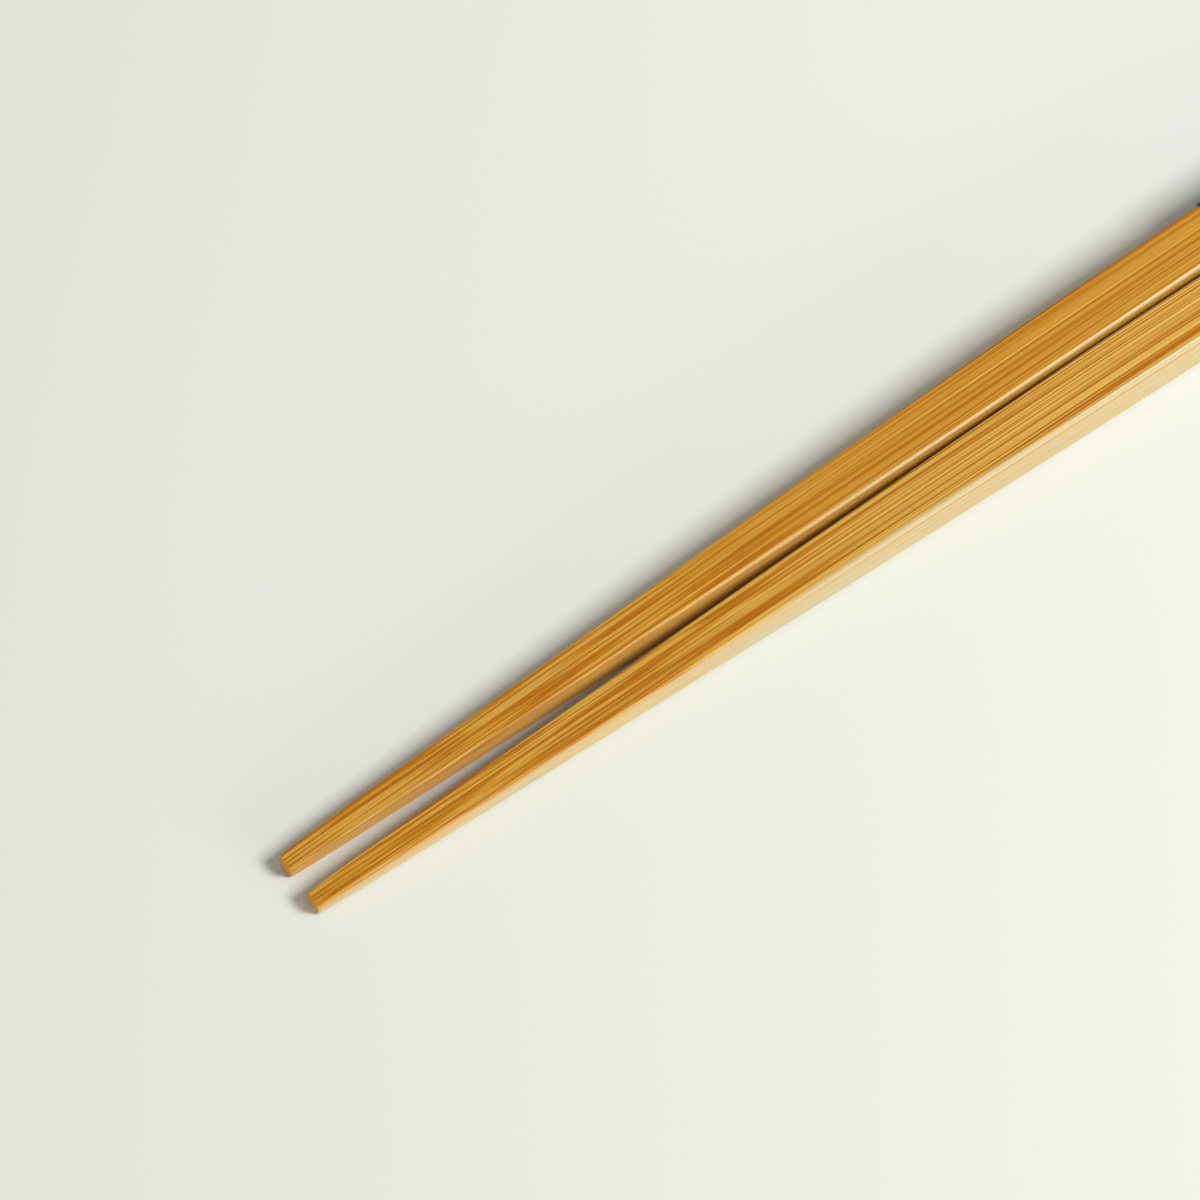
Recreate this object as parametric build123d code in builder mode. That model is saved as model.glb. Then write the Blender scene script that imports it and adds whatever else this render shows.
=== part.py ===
from build123d import *
from math import radians, sin
import os

# Bamboo chopsticks lying side by side, square in section, with a dipped coat over each handle.
# Millimetres and degrees. X runs from the tips to the butts, Y across the pair, Z up.

# Lengths along one stick, in order from the tip.
tip_bevel_length = 5.0
planed_length = 65.0
swell_length = 45.0
neck_length = 27.0
coat_length = 88.0

# Widths of the square section where those lengths meet.
tip_width = 2.3
bevel_width = 2.75
shoulder_width = 5.57
waist_width = 7.03
handle_width = 7.4

# Rounding of the long edges, crisp on the planed front and soft on the handle, and of the ends.
tip_edge_radius = 0.2
shoulder_edge_radius = 0.4
handle_edge_radius = 0.75
tip_end_radius = 0.15
butt_end_radius = 0.4
end_rounding_limit = 0.8

# Coat: a skin of even thickness, closed at the butt, with a sloped lip in front.
coat_thickness = 0.32
coat_lip = 0.2

# Pair: each stick is turned so that the tips draw together and the coats almost touch in front.
toe_in = 0.47
pair_clearance = 0.06

# Distances from the tip. The coat is outermost, so the bare stick ends one skin inside it.
bevel_end = tip_bevel_length
shoulder = bevel_end + planed_length
waist = shoulder + swell_length
coat_front = waist + neck_length
stick_length = coat_front + coat_length
bare_length = stick_length - coat_thickness

# Stations of the bare stick: distance from the tip, width and long-edge radius.
stations = [
    (0.0, tip_width, tip_edge_radius),
    (bevel_end, bevel_width, tip_edge_radius),
    (shoulder, shoulder_width, shoulder_edge_radius),
    (waist, waist_width, handle_edge_radius),
    (coat_front, handle_width, handle_edge_radius),
    (bare_length, handle_width, handle_edge_radius),
]


def cross_section(distance, width, radius, skin=0.0):
    """Rounded square across the stick, grown on all sides by a skin, with a level underside."""
    across = Plane(origin=(distance, 0, coat_thickness), x_dir=(0, 1, 0), z_dir=(1, 0, 0))
    with BuildSketch(across) as outline:
        with Locations((0, width / 2)):
            RectangleRounded(width + 2 * skin, width + 2 * skin, radius + skin)
    return outline.sketch


def end_rounding(end_radius, edge_radius):
    """Rounding of an end face, held below the radius of the long edges that run into it."""
    return min(end_radius, end_rounding_limit * edge_radius)


with BuildPart() as stick:
    loft([cross_section(*station) for station in stations], ruled=True)
    tip_face, *_, butt_face = stick.faces().sort_by(Axis.X)
    fillet(tip_face.edges(), end_rounding(tip_end_radius, tip_edge_radius))
    fillet(butt_face.edges(), end_rounding(butt_end_radius, handle_edge_radius))

with BuildPart() as coat:
    extrude(cross_section(coat_front, handle_width, handle_edge_radius, coat_thickness), coat_length)
    lip_face, *_, butt_face = coat.faces().sort_by(Axis.X)
    chamfer(lip_face.edges(), coat_lip)
    fillet(butt_face.edges(), end_rounding(butt_end_radius, handle_edge_radius) + coat_thickness)
    add(stick.part, mode=Mode.SUBTRACT)


def side_reach(distance, width, skin):
    """How far a station of the turned stick reaches inward from the point that the stick turns about."""
    return width / 2 + skin + (coat_front - distance) * sin(radians(toe_in))


reaches = [side_reach(distance, width, 0.0) for distance, width, radius in stations]
reaches += [side_reach(distance, width, coat_thickness) for distance, width, radius in stations[-2:]]
pair_offset = pair_clearance / 2 + max(reaches)


def place(side):
    """Location of one stick of the pair, turned about the middle of its coat's front edge."""
    turned = Location((coat_front - stick_length / 2, side * pair_offset, 0), (0, 0, side * toe_in))
    return turned * Location((-coat_front, 0, 0))


with BuildPart() as left_chopstick:
    with Locations(place(-1)):
        add(stick.part)

with BuildPart() as left_handle_coat:
    with Locations(place(-1)):
        add(coat.part)

with BuildPart() as right_chopstick:
    with Locations(place(1)):
        add(stick.part)

with BuildPart() as right_handle_coat:
    with Locations(place(1)):
        add(coat.part)

left_chopstick.part.label = "left_chopstick"
left_handle_coat.part.label = "left_handle_coat"
right_chopstick.part.label = "right_chopstick"
right_handle_coat.part.label = "right_handle_coat"

os.makedirs("parts", exist_ok=True)
export_step(left_chopstick.part, "parts/left_chopstick.step")
export_step(left_handle_coat.part, "parts/left_handle_coat.step")
export_step(right_chopstick.part, "parts/right_chopstick.step")
export_step(right_handle_coat.part, "parts/right_handle_coat.step")
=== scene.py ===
from math import cos, pi, radians, sin

import bmesh
import bpy
from mathutils import Euler, Matrix, Vector


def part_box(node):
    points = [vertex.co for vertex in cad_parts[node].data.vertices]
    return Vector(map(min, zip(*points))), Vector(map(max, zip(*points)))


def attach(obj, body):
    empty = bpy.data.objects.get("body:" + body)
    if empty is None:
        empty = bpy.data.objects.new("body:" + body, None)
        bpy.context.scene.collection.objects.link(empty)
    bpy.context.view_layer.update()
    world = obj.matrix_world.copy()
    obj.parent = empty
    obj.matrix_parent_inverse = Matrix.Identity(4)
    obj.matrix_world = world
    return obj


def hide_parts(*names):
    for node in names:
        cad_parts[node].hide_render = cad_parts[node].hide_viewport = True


bl_info = {
    "name": "Bamboo Chopsticks",
    "version": (1, 0, 0),
    "blender": (4, 5, 0),
    "location": "View3D > Sidebar > Chopsticks",
    "description": "Builds square bamboo chopsticks with dipped handle coats on a pale table",
    "category": "Object",
}

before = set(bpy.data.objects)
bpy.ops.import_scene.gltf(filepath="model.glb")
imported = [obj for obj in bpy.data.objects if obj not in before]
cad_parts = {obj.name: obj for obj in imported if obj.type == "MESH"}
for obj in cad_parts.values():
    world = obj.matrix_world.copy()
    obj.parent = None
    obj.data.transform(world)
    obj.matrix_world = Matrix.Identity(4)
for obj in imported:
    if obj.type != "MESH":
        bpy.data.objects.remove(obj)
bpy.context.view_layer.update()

MM = 0.001
ROOT = "root"
SIDES = {"left": -1, "right": 1}
STATIONS = 6
TABLE_REACH = 3.0
SENSOR_WIDTH = 36.0

# Meshes: steps of each rounding, how near an end a point counts as on it, and the weight of flat faces.
EDGE_STEPS = 8
NOSE_STEPS = 5
LIP_STEPS = 4
END_STEPS = 6
SOFTENING_STEPS = 4
END_CLOSENESS = 1e-7
FLAT_FACE_WEIGHT = 100

# Vertex attribute: millimetres from a stick's near top edge, positive across the top, negative down the side.
RIM = "rim"

# Fibres: how fast they change for each millimetre along the stick, and how much faster where it is planed.
SEEDS = {"left": 3.0, "right": 34.0}
GRAIN_CHANGE = 0.006
PLANED_CHANGE = 0.012
FIBRE_ROUGHNESS = 0.55
MIDDLE_NOISE = 0.5

# Sides of a stick: how far a face leans before it counts as a side, and how far its fibres are shifted.
SIDE_LEAN = 0.8
SIDE_SHIFT = 40.0

# Stretches over which a stick's finish changes, in millimetres from its tip.
PLANED_END = 70.0
HANDLE_BLEND = (50.0, 90.0)
BORDER_BLEND = (25.0, 85.0)
FRAY_BLEND = (45.0, 85.0)
# The painted highlight along the near top edge grows over this stretch.
PAINTED_HIGHLIGHT_BLEND = (30.0, 90.0)

# Ramps of noise: the levels where each starts and ends, then what it gives there if not 0 and 1.
GOLD_STREAK = (0.46, 0.55)
RUST_STREAK = (0.475, 0.425, 0.0, 0.85)
RUST_CLOUD = (0.46, 0.34, 0.0, 0.35)
RUST_HAIR = (0.52, 0.36, 0.0, 0.35)
DARK_LINE = (0.43, 0.36)
PALE_LINE = (0.615, 0.655)
SIDE_STREAK = (0.50, 0.40, 0.0, 0.6)
SIDE_HAIR = (0.50, 0.36, 0.0, 0.4)
# Mottle of the pale band on the near top edge, which is rubbing plus a painted highlight.
RUBBING_HIGHLIGHT_MOTTLE = (0.25, 0.55, 0.6, 1.0)
STREAK_ROUGHNESS = (0.3, 0.7, 0.50, 0.40)
COAT_CLOUD = (0.35, 0.65)
COAT_ROUGHNESS = (0.3, 0.7, 0.42, 0.32)

# Strength of the thin lines in the grain, and how far the dark ones lie below the streaks.
DARK_LINE_ON_TOP = 0.9
DARK_LINE_ON_SIDE = 0.45
DARK_LINE_DEPTH = 0.3
PALE_LINE_ON_TOP = 0.7

# Ramps by the distance in millimetres from the near top edge, or from where the pale band ends: a painted
# highlight along the edge, the band itself (rubbing and a painted highlight) and an amber seam below it.
PAINTED_EDGE_HIGHLIGHT = (0.4, 0.1)
RUBBING_HIGHLIGHT_EDGE = (-0.1, 0.1)
BAND_SEAM = (0.40, 0.10, 0.0, 0.8)

# Border of the bare side: its place at the tip and how far it frays there and at the handle, in millimetres.
BORDER_AT_TIP = -0.9
FRAY_WIDTH = (0.7, 0.12)
FRAY_LOOSENESS = 5.0
HALF_FRAY = 0.5

# Changes from the tip to the handle (painted edge highlight, gloss), and to the cut end by how far a face
# turns to it; that share takes in the rounding turned from the key light, painted lighter there to lift its
# shade.
PAINTED_HIGHLIGHT_SHARE = (0.3, 1.0)
GLOSS_SHARE = (0.7, 1.0)
CUT_END_AND_SHADED_ROUNDING = (-0.15, -0.6)

# Darker shade of the coat and of the table in their soft clouds, as a share of the full colour.
COAT_SHADE = 0.7
TABLE_SHADE = 0.985

stick_low, stick_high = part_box("left_chopstick")
coat_low, coat_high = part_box("left_handle_coat")


class StickShape(bpy.types.PropertyGroup):
    """Sizes of one stick, measured from its tip along its own axis."""

    distances: bpy.props.FloatVectorProperty(
        name="Station distances", description="Where the square section is given, from the tip to the butt",
        size=STATIONS, unit="LENGTH",
        default=(0, 5 * MM, 70 * MM, 115 * MM, coat_low.x - stick_low.x, stick_high.x - stick_low.x))
    widths: bpy.props.FloatVectorProperty(
        name="Station widths", description="Width of the square section at each station",
        size=STATIONS, unit="LENGTH",
        default=(2.3 * MM, 2.75 * MM, 5.57 * MM, 7.03 * MM, *[stick_high.z - stick_low.z] * 2))
    edges: bpy.props.FloatVectorProperty(
        name="Station edges", description="Radius of the long edges at each station",
        size=STATIONS, unit="LENGTH",
        default=(0.2 * MM, 0.22 * MM, 0.4 * MM, 0.55 * MM, 0.7 * MM, 0.75 * MM))
    tip_rounding: bpy.props.FloatProperty(
        name="Tip rounding", description="Rounding of the edges of the tip's end face",
        default=0.3 * MM, unit="LENGTH")
    softening: bpy.props.FloatProperty(
        name="Facet softening", description="Length over which one planed facet runs into the next",
        default=12 * MM, unit="LENGTH")
    ring_spacing: bpy.props.FloatProperty(
        name="Ring spacing", description="Distance between the rings of the mesh",
        default=2 * MM, min=0.2 * MM, unit="LENGTH")
    coat_thickness: bpy.props.FloatProperty(
        name="Coat thickness", description="Thickness of the dipped coat",
        default=stick_low.z - coat_low.z, unit="LENGTH")
    coat_length: bpy.props.FloatProperty(
        name="Coat length", description="Length of the dipped coat",
        default=coat_high.x - coat_low.x, unit="LENGTH")
    coat_lip: bpy.props.FloatProperty(
        name="Coat lip", description="Rounding of the coat's front edge",
        default=0.2 * MM, unit="LENGTH")
    coat_end: bpy.props.FloatProperty(
        name="Coat end", description="Rounding of the coat's closed end",
        default=0.72 * MM, unit="LENGTH")
    toe_in: bpy.props.FloatProperty(
        name="Toe-in", description="Turn of each stick that draws the tips together",
        default=radians(0.47), subtype="ANGLE")
    pair_offset: bpy.props.FloatProperty(
        name="Pair offset", description="Distance of each stick from the pair's middle at the coat's front",
        default=4.05 * MM, unit="LENGTH")


class Finishes(bpy.types.PropertyGroup):
    """Colours and gloss of the bamboo and the coat."""

    rust: bpy.props.FloatVectorProperty(
        name="Rust streak", description="Colour of the darkest bamboo streaks",
        size=3, default=(0.435, 0.133, 0.001), subtype="COLOR", min=0.0, max=1.0)
    amber: bpy.props.FloatVectorProperty(
        name="Amber", description="Main colour of the bamboo",
        size=3, default=(0.565, 0.242, 0.004), subtype="COLOR", min=0.0, max=1.0)
    gold: bpy.props.FloatVectorProperty(
        name="Gold streak", description="Colour of the lighter bamboo streaks",
        size=3, default=(0.720, 0.445, 0.085), subtype="COLOR", min=0.0, max=1.0)
    cream: bpy.props.FloatVectorProperty(
        name="Cream line", description="Colour of the thin pale fibre lines",
        size=3, default=(0.820, 0.590, 0.170), subtype="COLOR", min=0.0, max=1.0)
    # The end grain is painted lighter than the bamboo to lift the shade on the cut end, which faces away from
    # the key light.
    end_grain_with_painted_light: bpy.props.FloatVectorProperty(
        name="End grain", description="Colour of the cut end of each tip",
        size=3, default=(0.900, 0.380, 0.040), subtype="COLOR", min=0.0, max=1.0)
    # Colour of the pale band and line along the near top edges: partly rubbing, partly a painted highlight.
    rubbed_with_painted_highlight: bpy.props.FloatVectorProperty(
        name="Rubbed edge", description="Colour of the near top edge where handling has dulled the varnish",
        size=3, default=(0.685, 0.555, 0.305), subtype="COLOR", min=0.0, max=1.0)
    navy: bpy.props.FloatVectorProperty(
        name="Navy", description="Colour of the handle coat",
        size=3, default=(0.013, 0.027, 0.160), subtype="COLOR", min=0.0, max=1.0)
    left_flank: bpy.props.FloatVectorProperty(
        name="Left flank", description="Colour of the left stick's near side",
        size=3, default=(0.530, 0.458, 0.268), subtype="COLOR", min=0.0, max=1.0)
    right_flank: bpy.props.FloatVectorProperty(
        name="Right flank", description="Colour of the right stick's near side",
        size=3, default=(0.600, 0.320, 0.065), subtype="COLOR", min=0.0, max=1.0)
    left_gold: bpy.props.FloatVectorProperty(
        name="Left gold", description="Strength of the left stick's gold streaks, at tip and handle",
        size=2, default=(0.75, 1.0), min=0.0, max=3.0)
    right_gold: bpy.props.FloatVectorProperty(
        name="Right gold", description="Strength of the right stick's gold streaks, at tip and handle",
        size=2, default=(0.65, 0.35), min=0.0, max=3.0)
    # Reach also sets where the pale band, with its painted highlight, starts on the top face.
    left_reach: bpy.props.FloatProperty(
        name="Left reach", description="How far the left flank's colour comes over the edge at the handle",
        default=0.55 * MM, unit="LENGTH")
    right_reach: bpy.props.FloatProperty(
        name="Right reach", description="How far the right flank's colour comes over the edge at the handle",
        default=0.3 * MM, unit="LENGTH")
    # Depth of the pale band down each near side: rubbing and a painted highlight on the left stick, a painted
    # highlight on the right.
    left_wear_and_highlight: bpy.props.FloatProperty(
        name="Left wear", description="How far down its near side the left stick's top edge is rubbed",
        default=0.95 * MM, unit="LENGTH")
    right_wear_and_highlight: bpy.props.FloatProperty(
        name="Right wear", description="How far down its near side the right stick's top edge is rubbed",
        default=0.5 * MM, unit="LENGTH")
    # The pale line along the near top edge is a painted highlight.
    left_line: bpy.props.FloatProperty(
        name="Left line", description="Strength of the pale line along the left stick's near top edge",
        default=0.0, min=0.0, max=1.0, subtype="FACTOR")
    right_line: bpy.props.FloatProperty(
        name="Right line", description="Strength of the pale line along the right stick's near top edge",
        default=0.5, min=0.0, max=1.0, subtype="FACTOR")
    varnish: bpy.props.FloatProperty(
        name="Varnish", description="Weight of the clear varnish over the bamboo",
        default=0.45, min=0.0, max=1.0, subtype="FACTOR")


class StageLook(bpy.types.PropertyGroup):
    """Table, light and camera."""

    table: bpy.props.FloatVectorProperty(
        name="Table", description="Colour of the table top",
        size=3, default=(0.820, 0.870, 0.835), subtype="COLOR", min=0.0, max=1.0)
    key_energy: bpy.props.FloatProperty(
        name="Key power", description="Power of the main soft light",
        default=14.65, unit="POWER")
    key_size: bpy.props.FloatVectorProperty(
        name="Key size", description="Width and height of the main soft light",
        size=2, default=(0.42, 0.50), unit="LENGTH")
    key_place: bpy.props.FloatVectorProperty(
        name="Key place", description="Main light from the target: to the right, away from the camera, up",
        size=3, default=(0.85, -0.16, 0.90), subtype="TRANSLATION", unit="LENGTH")
    key_lead: bpy.props.FloatProperty(
        name="Key lead", description="How far past the target, away from the camera, the main light points",
        default=0.65, unit="LENGTH")
    card_energy: bpy.props.FloatProperty(
        name="Card power", description="Power of the low fill card at the camera's side",
        default=4.5, unit="POWER")
    card_size: bpy.props.FloatVectorProperty(
        name="Card size", description="Width and height of the low fill card",
        size=2, default=(0.60, 0.32), unit="LENGTH")
    card_place: bpy.props.FloatVectorProperty(
        name="Card place", description="Fill card from the target: to the right, away from the camera, up",
        size=3, default=(0.96, -0.80, 0.28), subtype="TRANSLATION", unit="LENGTH")
    lamp_colour: bpy.props.FloatVectorProperty(
        name="Lamp colour", description="Colour of the key light and the fill card",
        size=3, default=(1.0, 0.995, 0.975), subtype="COLOR", min=0.0, max=1.0)
    sky_strength: bpy.props.FloatProperty(
        name="Sky strength", description="Strength of the even light from all round",
        default=0.345)
    sky_colour: bpy.props.FloatVectorProperty(
        name="Sky colour", description="Colour of the even light from all round",
        size=3, default=(1.0, 0.935, 0.855), subtype="COLOR", min=0.0, max=1.0)
    target: bpy.props.FloatVectorProperty(
        name="Target", description="Point on the table at the middle of the picture",
        size=3, default=(-63.895 * MM, 10.000 * MM, 0.0), subtype="TRANSLATION", unit="LENGTH")
    distance: bpy.props.FloatProperty(
        name="Camera distance", description="Distance of the camera from the target",
        default=0.55, unit="LENGTH")
    elevation: bpy.props.FloatProperty(
        name="Camera elevation", description="Angle at which the camera looks down on the table",
        default=radians(64), subtype="ANGLE")
    turn: bpy.props.FloatProperty(
        name="Camera turn", description="Angle between the pair and the picture's lower edge",
        default=radians(35.961), subtype="ANGLE")
    focal: bpy.props.FloatProperty(
        name="Focal length", description="Focal length as a multiple of the picture's width",
        default=3.766)


def stick_place(shape, side):
    """Matrix from a stick's own axes, with the tip at zero, to its place in the pair."""
    pivot = Vector((coat_low.x, side * shape.pair_offset, shape.coat_thickness))
    turn = Matrix.Rotation(side * shape.toe_in, 4, "Z")
    return Matrix.Translation(pivot) @ turn @ Matrix.Translation((stick_low.x - coat_low.x, 0, 0))


def along_stick(shape, sizes, distance):
    """Size at a distance from the tip, running straight from station to station."""
    stations = list(zip(shape.distances, sizes))
    for (start, size), (end, next_size) in zip(stations, stations[1:]):
        if distance <= end:
            return size + (next_size - size) * max(0, distance - start) / (end - start)
    return sizes[-1]


def soft_width(shape, distance):
    """Width of the stick where neighbouring facets run softly into each other."""
    reach = min(shape.softening, distance) / 2
    steps = range(-SOFTENING_STEPS, SOFTENING_STEPS + 1)
    samples = [along_stick(shape, shape.widths, distance + reach * step / SOFTENING_STEPS) for step in steps]
    return sum(samples) / len(samples)


def rounded_square(bm, distance, lift, width, edge):
    """Square face across the X axis, lifted above Z zero, with rounded corners."""
    corners = bmesh.ops.create_grid(bm, x_segments=1, y_segments=1, size=width / 2)["verts"]
    bmesh.ops.rotate(bm, verts=corners, cent=(0, 0, 0), matrix=Euler((pi / 2, 0, -pi / 2)).to_matrix())
    bmesh.ops.translate(bm, verts=corners, vec=(distance, 0, lift + width / 2))
    rounded = bmesh.ops.bevel(bm, geom=corners, offset=edge, segments=EDGE_STEPS, profile=0.5,
                              affect="VERTICES", material=-1)["verts"]
    return rounded[0].link_faces[0]


def extrude_to(bm, face, step):
    """Draw a face along X by a step."""
    drawn = bmesh.ops.extrude_face_region(bm, geom=[face, *face.edges])["geom"]
    verts = [item for item in drawn if isinstance(item, bmesh.types.BMVert)]
    bmesh.ops.translate(bm, verts=verts, vec=(step, 0, 0))


def round_edges(bm, edges, radius, steps):
    """Round edges to a radius, in so many steps."""
    bmesh.ops.bevel(bm, geom=edges, offset=radius, segments=steps, profile=0.5,
                    affect="EDGES", material=-1)


def end_edges(bm, distance):
    """Edges that lie round the end of a shape, at a distance along X."""
    return [edge for edge in bm.edges
            if all(abs(vert.co.x - distance) < END_CLOSENESS for vert in edge.verts)]


def finish_piece(bm, name, place, material, node):
    """Turn a shape into an object that rides on the part and stands for its CAD node."""
    bmesh.ops.recalc_face_normals(bm, faces=bm.faces[:])
    bmesh.ops.transform(bm, verts=bm.verts[:], matrix=place)
    mesh = bpy.data.meshes.new(name)
    bm.to_mesh(mesh)
    bm.free()
    mesh.shade_smooth()
    mesh.materials.append(material)
    piece = bpy.data.objects.new(name, mesh)
    bpy.context.collection.objects.link(piece)
    piece.modifiers.new("Flat faces stay flat", "WEIGHTED_NORMAL").weight = FLAT_FACE_WEIGHT
    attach(piece, ROOT)
    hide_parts(node)


class NodePen:
    """Adds shader nodes to a material and links them."""

    def __init__(self, name):
        self.material = bpy.data.materials.new(name)
        self.material.use_nodes = True
        self.tree = self.material.node_tree
        self.shader = self.tree.nodes["Principled BSDF"]

    def feed(self, socket, value):
        """Link an output to a socket, or set the socket's own value."""
        if isinstance(value, bpy.types.NodeSocket):
            self.tree.links.new(value, socket)
        else:
            socket.default_value = value

    def add(self, kind, *values, **settings):
        """New node of a kind with its settings. Its sockets are fed in order, and None leaves one alone."""
        node = self.tree.nodes.new(kind)
        for key, value in settings.items():
            setattr(node, key, value)
        for socket, value in zip(node.inputs, values):
            if value is not None:
                self.feed(socket, value)
        return node

    def finish(self, **inputs):
        """Feed the shader's sockets by name, with underscores for spaces."""
        for key, value in inputs.items():
            self.feed(self.shader.inputs[key.replace("_", " ")], value)
        return self.material

    def math(self, operation, *values):
        """Result of a Math node."""
        return self.add("ShaderNodeMath", *values, operation=operation).outputs[0]

    def ramp(self, value, low, high, out_low=0.0, out_high=1.0):
        """Smooth step of a value from one range to another."""
        return self.add("ShaderNodeMapRange", value, low, high, out_low, out_high,
                        interpolation_type="SMOOTHSTEP").outputs[0]

    def noise(self, place, scale, detail, roughness=0.5):
        """Soft noise from zero to one."""
        return self.add("ShaderNodeTexNoise", place, None, scale, detail, roughness).outputs[0]

    def bump(self, height, strength, distance):
        """Normal bent by a height."""
        node = self.add("ShaderNodeBump", strength, distance)
        self.feed(node.inputs["Height"], height)
        return node.outputs[0]

    def blend(self, under, *layers):
        """Colour with layers laid over it in order, each a share and a colour."""
        for share, over in layers:
            node = self.add("ShaderNodeMix", data_type="RGBA")
            self.feed(node.inputs["Factor"], share)
            self.feed(node.inputs[6], under)
            self.feed(node.inputs[7], over)
            under = node.outputs[2]
        return under


def colour(rgb):
    """Colour with full alpha."""
    return (*rgb, 1.0)


class Grain:
    """Fibres of one stick, on its own axes in millimetres from the tip."""

    def __init__(self, pen, place, seed):
        self.pen = pen
        inward = place.inverted()
        coordinates = pen.add("ShaderNodeTexCoord")
        self.own_axes = pen.add("ShaderNodeMapping", coordinates.outputs["Object"], inward.translation / MM,
                                inward.to_euler(), (1 / MM,) * 3).outputs[0]
        self.x, y, z = pen.add("ShaderNodeSeparateXYZ", self.own_axes).outputs
        self.facing = pen.add("ShaderNodeSeparateXYZ", coordinates.outputs["Normal"]).outputs
        self.rim = pen.add("ShaderNodeAttribute", attribute_name=RIM).outputs["Fac"]
        self.handle_share = pen.ramp(self.x, *HANDLE_BLEND)
        self.fibre_axes = self.laid_fibres(y, z, seed)
        self.tone = self.fibres(along=1.2, fineness=0.40, shift=3.0)
        self.stripe = self.stripes()
        self.hair = self.fibres(along=3.0, fineness=7.0, shift=23.0)
        self.dark_line = pen.ramp(self.fibres(along=1.8, fineness=3.4, shift=31.0, detail=1.0), *DARK_LINE)
        pale_line = pen.ramp(self.fibres(along=1.4, fineness=4.2, shift=47.0, detail=1.0), *PALE_LINE)
        self.pale_line = pen.math("MULTIPLY", pale_line, self.handle_share)

    def laid_fibres(self, y, z, seed):
        """Coordinates of the fibres: along the stick, across its face, and the seed."""
        pen = self.pen
        on_side = pen.math("GREATER_THAN", pen.math("ABSOLUTE", self.facing[1]), SIDE_LEAN)
        to_side = pen.math("SUBTRACT", pen.math("ADD", z, SIDE_SHIFT), y)
        across = pen.math("ADD", y, pen.math("MULTIPLY", on_side, to_side))
        planed = pen.math("MULTIPLY", pen.math("MINIMUM", self.x, PLANED_END), PLANED_CHANGE)
        along = pen.math("ADD", pen.math("MULTIPLY", self.x, GRAIN_CHANGE), planed)
        return pen.add("ShaderNodeCombineXYZ", along, across, seed).outputs[0]

    def fibres(self, along, fineness, shift, detail=2.0):
        """Noise drawn out along the stick, so many streaks to a millimetre across it."""
        drawn = self.pen.add("ShaderNodeVectorMath", self.fibre_axes, (along, fineness, 1.0),
                             (shift, 3 * shift, shift), operation="MULTIPLY_ADD").outputs[0]
        return self.pen.noise(drawn, scale=1.0, detail=detail, roughness=FIBRE_ROUGHNESS)

    def stripes(self):
        """Streaks that turn finer at the handle."""
        coarse = self.fibres(along=2.0, fineness=2.4, shift=11.0)
        fine = self.fibres(along=1.6, fineness=3.8, shift=17.0)
        change = self.pen.math("SUBTRACT", fine, coarse)
        return self.pen.math("MULTIPLY_ADD", self.handle_share, change, coarse)


def top_colour(pen, grain, finishes, gold, line):
    """Amber top with gold and rust streaks, thin cream lines and a painted highlight along the near edge."""
    rust = colour(finishes.rust)
    gold_share = pen.ramp(grain.x, *HANDLE_BLEND, *gold)
    # Painted highlight: a pale line on the near top edge, weaker toward the tip.
    painted_edge_highlight = pen.ramp(pen.math("ABSOLUTE", grain.rim), *PAINTED_EDGE_HIGHLIGHT, 0.0, line)
    painted_highlight_share = pen.ramp(grain.x, *PAINTED_HIGHLIGHT_BLEND, *PAINTED_HIGHLIGHT_SHARE)
    return pen.blend(
        colour(finishes.amber),
        (pen.math("MULTIPLY", pen.ramp(grain.stripe, *GOLD_STREAK), gold_share), colour(finishes.gold)),
        (pen.ramp(grain.stripe, *RUST_STREAK), rust),
        (pen.ramp(grain.tone, *RUST_CLOUD), rust),
        (pen.math("MULTIPLY", grain.dark_line, DARK_LINE_ON_TOP), rust),
        (pen.ramp(grain.hair, *RUST_HAIR), rust),
        (pen.math("MULTIPLY", grain.pale_line, PALE_LINE_ON_TOP), colour(finishes.cream)),
        # Painted highlight along the near top edge.
        (pen.math("MULTIPLY", painted_edge_highlight, painted_highlight_share), colour(finishes.rubbed_with_painted_highlight)))


def side_colour(pen, grain, finishes, flank, wear_and_highlight):
    """Paler near side with a pale band along its top edge at the handle, from rubbing and a painted
    highlight, and an amber seam below the band.
    """
    amber = colour(finishes.amber)
    below = pen.math("ADD", grain.rim, wear_and_highlight / MM)
    mottle = pen.noise(grain.own_axes, scale=2.2, detail=3.0, roughness=0.6)
    # Pale band down from the top edge, mottled: rubbing plus a painted highlight.
    rubbing_and_highlight = pen.math("MULTIPLY", pen.ramp(below, *RUBBING_HIGHLIGHT_EDGE), pen.ramp(mottle, *RUBBING_HIGHLIGHT_MOTTLE))
    seam = pen.ramp(pen.math("ABSOLUTE", below), *BAND_SEAM)
    return pen.blend(
        colour(flank),
        (pen.ramp(grain.stripe, *SIDE_STREAK), colour(finishes.gold)),
        (pen.math("MULTIPLY", grain.dark_line, DARK_LINE_ON_SIDE), amber),
        (pen.ramp(grain.hair, *SIDE_HAIR), amber),
        # Pale band at the handle: rubbing plus a painted highlight.
        (pen.math("MULTIPLY", grain.handle_share, rubbing_and_highlight), colour(finishes.rubbed_with_painted_highlight)),
        (pen.math("MULTIPLY", grain.handle_share, seam), amber))


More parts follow.
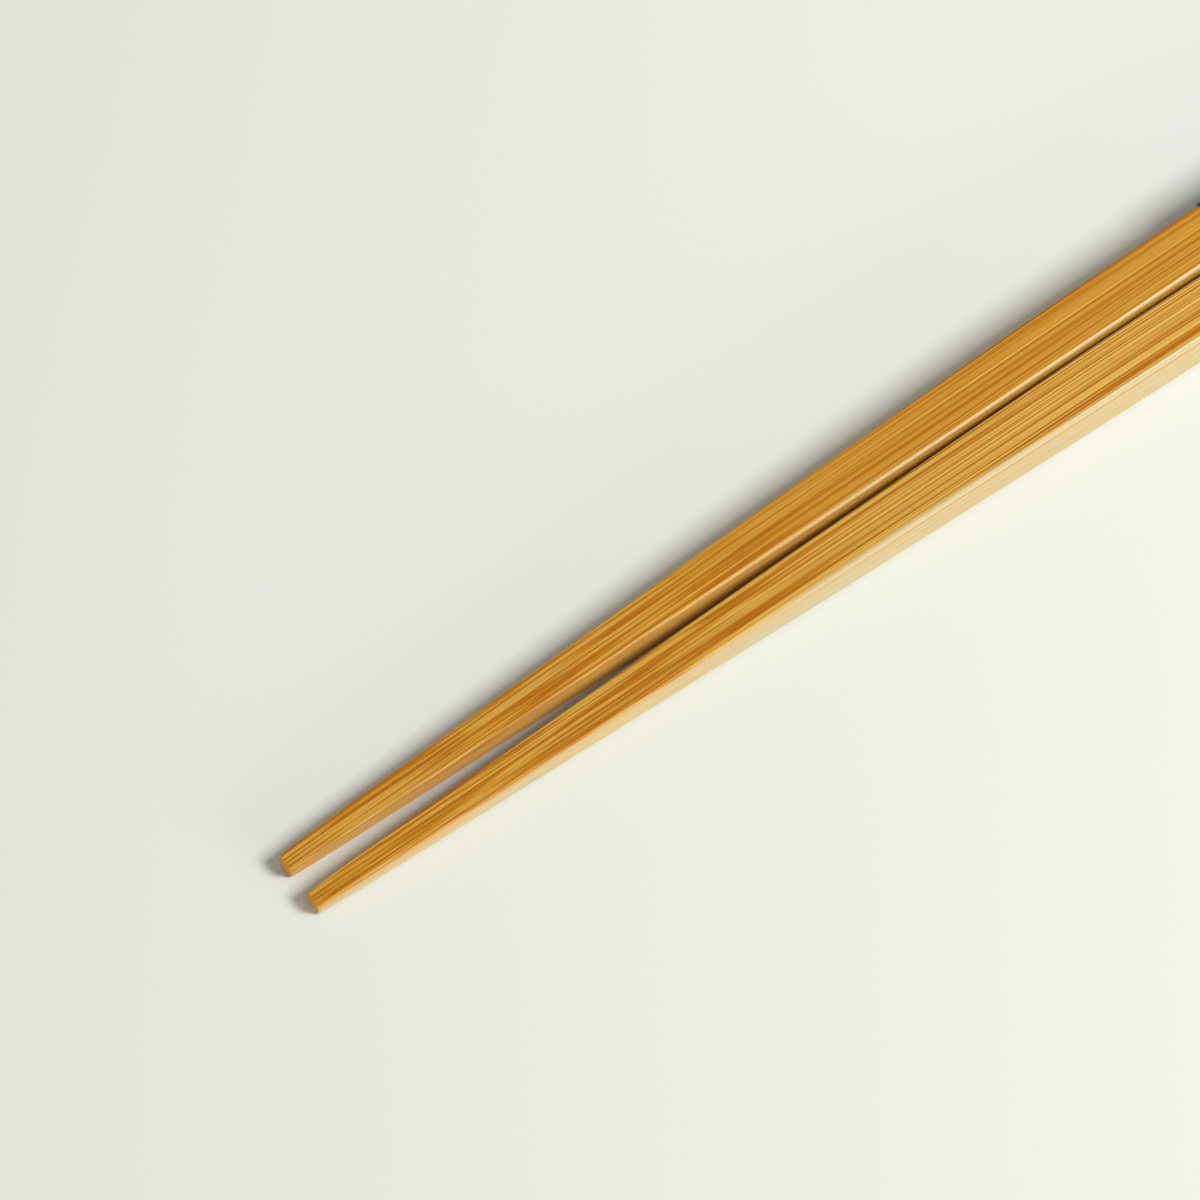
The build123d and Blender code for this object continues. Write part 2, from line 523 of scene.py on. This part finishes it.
def bare_share(pen, grain, reach):
    """Share of the bare side: its border frays near the tip and comes over the edge at the handle."""
    border = pen.ramp(grain.x, *BORDER_BLEND, BORDER_AT_TIP, reach / MM)
    fray = pen.ramp(grain.x, *FRAY_BLEND, *FRAY_WIDTH)
    looseness = pen.math("MULTIPLY", fray, FRAY_LOOSENESS)
    stray = pen.math("MULTIPLY", pen.math("SUBTRACT", grain.stripe, MIDDLE_NOISE), looseness)
    inside = pen.math("SUBTRACT", pen.math("ADD", grain.rim, stray), border)
    return pen.ramp(pen.math("DIVIDE", inside, fray), HALF_FRAY, -HALF_FRAY)


def bamboo_material(name, place, finishes, seed, flank, gold, reach, wear_and_highlight, line):
    """Varnished amber bamboo with long straight fibres, a paler near side, a near top edge pale from rubbing
    and a painted highlight, and a cut end painted lighter against its shade.
    """
    pen = NodePen(name)
    grain = Grain(pen, place, seed)
    bare = bare_share(pen, grain, reach)
    # Share of the cut end, reaching over the rounding that turns from the key light: the lighter colour there
    # is painted light over its shade.
    cut = pen.ramp(grain.facing[0], *CUT_END_AND_SHADED_ROUNDING)
    body = pen.blend(
        top_colour(pen, grain, finishes, gold, line),
        (bare, side_colour(pen, grain, finishes, flank, wear_and_highlight)),
        # Cut end in a lighter grain colour, painted to lift its shade.
        (cut, colour(finishes.end_grain_with_painted_light)))
    height = pen.math("SUBTRACT", grain.stripe, pen.math("MULTIPLY", grain.dark_line, DARK_LINE_DEPTH))
    gloss = pen.math("MULTIPLY", pen.ramp(grain.x, *HANDLE_BLEND, *GLOSS_SHARE), pen.ramp(cut, 1.0, 0.0))
    return pen.finish(
        Base_Color=body,
        Diffuse_Roughness=bare,
        Roughness=pen.ramp(grain.stripe, *STREAK_ROUGHNESS),
        Specular_IOR_Level=0.15,
        Normal=pen.bump(height, strength=0.2, distance=0.03 * MM),
        Coat_Weight=pen.math("MULTIPLY", gloss, finishes.varnish),
        Coat_Roughness=0.25)


def coat_material(finishes):
    """Dark blue dipped coat with a faint ripple."""
    pen = NodePen("navy dipped coat")
    own_axes = pen.add("ShaderNodeTexCoord").outputs["Object"]
    ripple = pen.noise(own_axes, scale=900.0, detail=2.0)
    cloud = pen.noise(own_axes, scale=120.0, detail=3.0)
    shade = colour(COAT_SHADE * Vector(finishes.navy))
    return pen.finish(
        Base_Color=pen.blend(shade, (pen.ramp(cloud, *COAT_CLOUD), colour(finishes.navy))),
        Roughness=pen.ramp(cloud, *COAT_ROUGHNESS),
        Normal=pen.bump(ripple, strength=0.25, distance=0.02 * MM),
        Coat_Weight=0.3,
        Coat_Roughness=0.2)


def table_material(look):
    """Matte pale table top."""
    pen = NodePen("pale table")
    own_axes = pen.add("ShaderNodeTexCoord").outputs["Object"]
    cloud = pen.noise(own_axes, scale=6.0, detail=2.0)
    shade = colour(TABLE_SHADE * Vector(look.table))
    return pen.finish(
        Base_Color=pen.blend(shade, (cloud, colour(look.table))),
        Roughness=0.7,
        Specular_IOR_Level=0.2)


class CHOPSTICKS_OT_sticks(bpy.types.Operator):
    """Build the two bamboo sticks"""

    bl_idname = "chopsticks.sticks"
    bl_label = "Build Sticks"
    bl_options = {"REGISTER", "UNDO"}

    def execute(self, context):
        shape, finishes = context.scene.stick_shape, context.scene.stick_finishes
        own_finishes = ("flank", "gold", "reach", "wear_and_highlight", "line")
        for name, side in SIDES.items():
            place = stick_place(shape, side)
            own = {key: getattr(finishes, f"{name}_{key}") for key in own_finishes}
            material = bamboo_material(f"{name} bamboo", place, finishes, SEEDS[name], **own)
            finish_piece(self.planed_stick(shape), f"{name}_bamboo_stick", place, material,
                         f"{name}_chopstick")
        return {"FINISHED"}

    def rings(self, shape):
        """Distance from the tip and inset of each ring: a rounded nose, then even steps to the butt."""
        length, nose = shape.distances[-1], shape.tip_rounding
        turns = [pi / 2 * step / NOSE_STEPS for step in range(NOSE_STEPS)]
        rounded = [(nose * (1 - cos(turn)), nose * (1 - sin(turn))) for turn in turns]
        steps = round((length - nose) / shape.ring_spacing)
        return rounded + [(nose + (length - nose) * step / steps, 0) for step in range(steps + 1)]

    def planed_stick(self, shape):
        """Square stick bridged from ring to ring, closed at both ends."""
        bm = bmesh.new()
        rim = bm.verts.layers.float.new(RIM)
        outline = []
        for distance, inset in self.rings(shape):
            width = soft_width(shape, distance) - 2 * inset
            face = rounded_square(bm, distance, inset, width, along_stick(shape, shape.edges, distance))
            for vert in face.verts:
                vert[rim] = (vert.co.y + vert.co.z - inset - width / 2) / MM
            previous, outline = outline, face.edges[:]
            if 0 < distance < shape.distances[-1]:
                bmesh.ops.delete(bm, geom=[face], context="FACES_ONLY")
            if previous:
                bmesh.ops.bridge_loops(bm, edges=previous + outline)
        return bm


class CHOPSTICKS_OT_coats(bpy.types.Operator):
    """Build the dipped coats over the handles"""

    bl_idname = "chopsticks.coats"
    bl_label = "Build Handle Coats"
    bl_options = {"REGISTER", "UNDO"}

    def execute(self, context):
        shape = context.scene.stick_shape
        material = coat_material(context.scene.stick_finishes)
        for name, side in SIDES.items():
            finish_piece(self.dipped_coat(shape), f"{name}_dipped_coat", stick_place(shape, side), material,
                         f"{name}_handle_coat")
        return {"FINISHED"}

    def dipped_coat(self, shape):
        """Thin skin round the handle, open in front and closed at the butt."""
        skin, length = shape.coat_thickness, shape.coat_length
        bm = bmesh.new()
        mouth = rounded_square(bm, 0, 0, shape.widths[-1] + 2 * skin, shape.edges[-1] + skin)
        front_edges = mouth.edges[:]
        extrude_to(bm, mouth, length)
        bmesh.ops.inset_region(bm, faces=[mouth], thickness=skin, use_even_offset=True, use_boundary=True)
        extrude_to(bm, mouth, length - skin)
        round_edges(bm, front_edges, shape.coat_lip, LIP_STEPS)
        round_edges(bm, end_edges(bm, length), shape.coat_end, END_STEPS)
        bmesh.ops.translate(bm, verts=bm.verts[:], vec=(coat_low.x - stick_low.x, 0, -skin))
        return bm


class CHOPSTICKS_OT_stage(bpy.types.Operator):
    """Build the table, the light and the camera"""

    bl_idname = "chopsticks.stage"
    bl_label = "Build Stage"
    bl_options = {"REGISTER", "UNDO"}

    def execute(self, context):
        scene, look = context.scene, context.scene.stage_look
        scene.view_settings.view_transform = "Standard"
        self.table(look)
        self.lights(scene, look)
        self.camera(scene, look)
        return {"FINISHED"}

    def table(self, look):
        """Wide flat table top."""
        bm = bmesh.new()
        bmesh.ops.create_grid(bm, x_segments=1, y_segments=1, size=TABLE_REACH)
        mesh = bpy.data.meshes.new("table_top")
        bm.to_mesh(mesh)
        bm.free()
        mesh.materials.append(table_material(look))
        top = bpy.data.objects.new("table_top", mesh)
        bpy.context.collection.objects.link(top)

    def ground_axes(self, look):
        """Directions on the table to the picture's right and away from the camera."""
        right = Vector((cos(look.turn), -sin(look.turn), 0))
        away = Vector((sin(look.turn), cos(look.turn), 0))
        return right, away

    def lights(self, scene, look):
        """Soft key light from the picture's right, a low fill card and an even pale sky."""
        self.softbox("key_light", look, look.key_place, look.key_size, look.key_energy, look.key_lead)
        self.softbox("low_card", look, look.card_place, look.card_size, look.card_energy)
        world = bpy.data.worlds.new("pale_sky")
        world.use_nodes = True
        background = world.node_tree.nodes["Background"]
        background.inputs["Color"].default_value = colour(look.sky_colour)
        background.inputs["Strength"].default_value = look.sky_strength
        scene.world = world

    def softbox(self, name, look, place, size, energy, lead=0.0):
        """Flat soft light that faces the target, or a point that leads past it."""
        right, away = self.ground_axes(look)
        offset = place[0] * right + place[1] * away + Vector((0, 0, place[2]))
        lamp = bpy.data.lights.new(name, "AREA")
        lamp.shape = "RECTANGLE"
        lamp.size, lamp.size_y = size
        lamp.energy = energy
        lamp.color = look.lamp_colour
        box = bpy.data.objects.new(name, lamp)
        bpy.context.collection.objects.link(box)
        box.location = Vector(look.target) + offset
        box.rotation_euler = (offset - lead * away).to_track_quat("Z", "Y").to_euler()

    def camera(self, scene, look):
        """Camera that looks down on the front part of the pair."""
        _, away = self.ground_axes(look)
        data = bpy.data.cameras.new("camera")
        data.sensor_fit = "HORIZONTAL"
        data.sensor_width = SENSOR_WIDTH
        data.lens = SENSOR_WIDTH * look.focal
        camera = bpy.data.objects.new("camera", data)
        bpy.context.collection.objects.link(camera)
        back = Vector((0, 0, sin(look.elevation))) - cos(look.elevation) * away
        camera.location = Vector(look.target) + look.distance * back
        camera.rotation_euler = back.to_track_quat("Z", "Y").to_euler()
        scene.camera = camera


class CHOPSTICKS_PT_panel(bpy.types.Panel):
    """Sidebar panel with the builders of the chopsticks"""

    bl_idname = "CHOPSTICKS_PT_panel"
    bl_label = "Bamboo Chopsticks"
    bl_space_type = "VIEW_3D"
    bl_region_type = "UI"
    bl_category = "Chopsticks"

    def draw(self, context):
        for operator in BUILDERS:
            self.layout.operator(operator.bl_idname)


BUILDERS = (CHOPSTICKS_OT_sticks, CHOPSTICKS_OT_coats, CHOPSTICKS_OT_stage)
GROUPS = {"stick_shape": StickShape, "stick_finishes": Finishes, "stage_look": StageLook}
CLASSES = (*GROUPS.values(), *BUILDERS, CHOPSTICKS_PT_panel)


def register():
    """Register the classes and give each scene its settings."""
    for cls in CLASSES:
        bpy.utils.register_class(cls)
    for name, group in GROUPS.items():
        setattr(bpy.types.Scene, name, bpy.props.PointerProperty(type=group))


def unregister():
    """Take the settings and the classes away again."""
    for name in GROUPS:
        delattr(bpy.types.Scene, name)
    for cls in reversed(CLASSES):
        bpy.utils.unregister_class(cls)


def main():
    """Build the pair and its stage."""
    register()
    bpy.ops.chopsticks.sticks()
    bpy.ops.chopsticks.coats()
    bpy.ops.chopsticks.stage()


if __name__ == "__main__":
    main()
